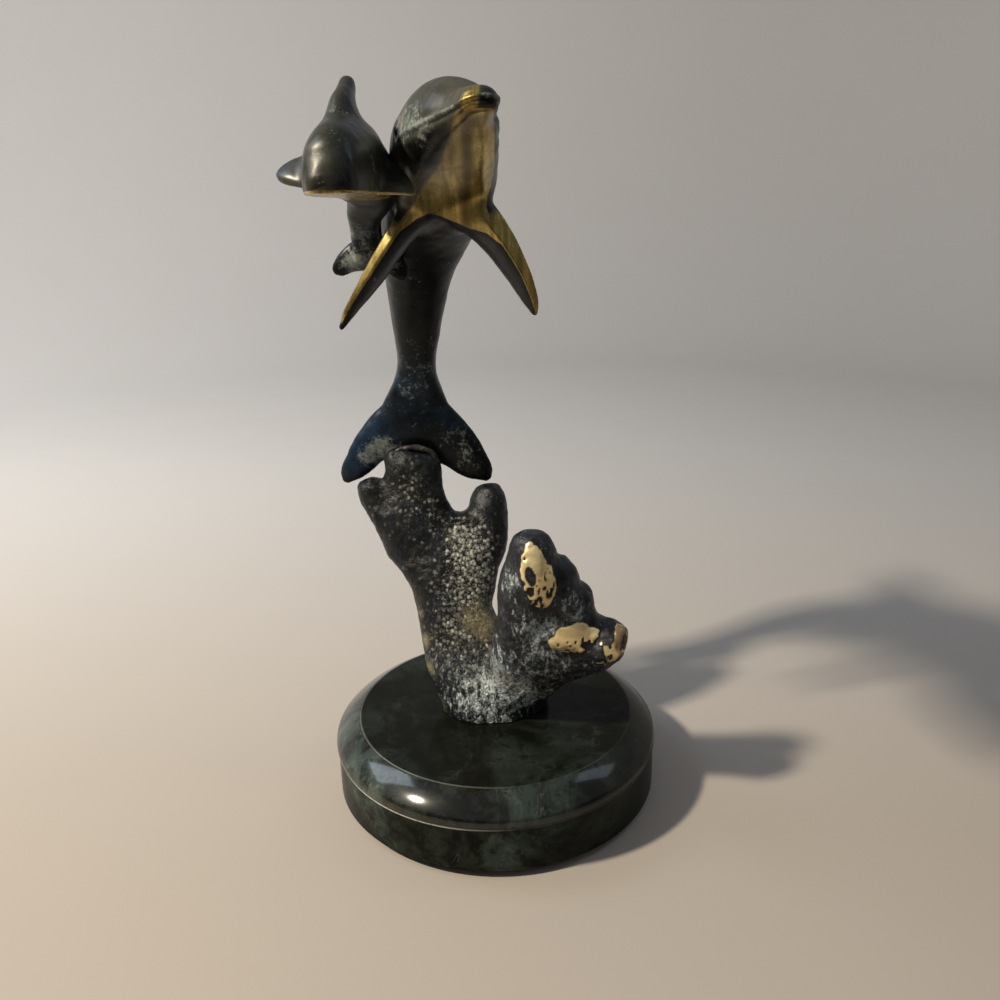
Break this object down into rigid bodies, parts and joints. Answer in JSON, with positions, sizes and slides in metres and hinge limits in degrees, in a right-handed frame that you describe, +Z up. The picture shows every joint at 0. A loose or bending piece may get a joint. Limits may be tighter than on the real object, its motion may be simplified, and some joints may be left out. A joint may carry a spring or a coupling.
{
  "type": "dolphin statue",
  "caption": "Free-standing ornament: an arched dolphin and its calf cast in dark patinated brass, rising from a coral stand on a turned round marble base.",
  "frame": {"origin": "centre of the felt under the base, on the table", "axes": "+Z up, -Y towards the side the calf faces, +X to the side of the reef lobe"},
  "size_m": [0.101, 0.1144, 0.2102],
  "materials": {
    "felt": "felt",
    "marble": "polished",
    "steel": "zinc plated",
    "coral": "dark granular patina with polished high spots",
    "brass": "satin",
    "patina": "dark green-black patina with polished edges"
  },
  "bodies": {
    "root": {"felt_pad": "felt", "marble_base": "marble", "base_washer": "steel", "base_nut": "steel", "base_stud": "steel", "coral_stand": "coral", "crown_braze": "brass", "fluke_pin": "brass", "mother_dolphin": "patina", "calf_pin": "brass", "calf_dolphin": "patina"}
  },
  "joints": []
}
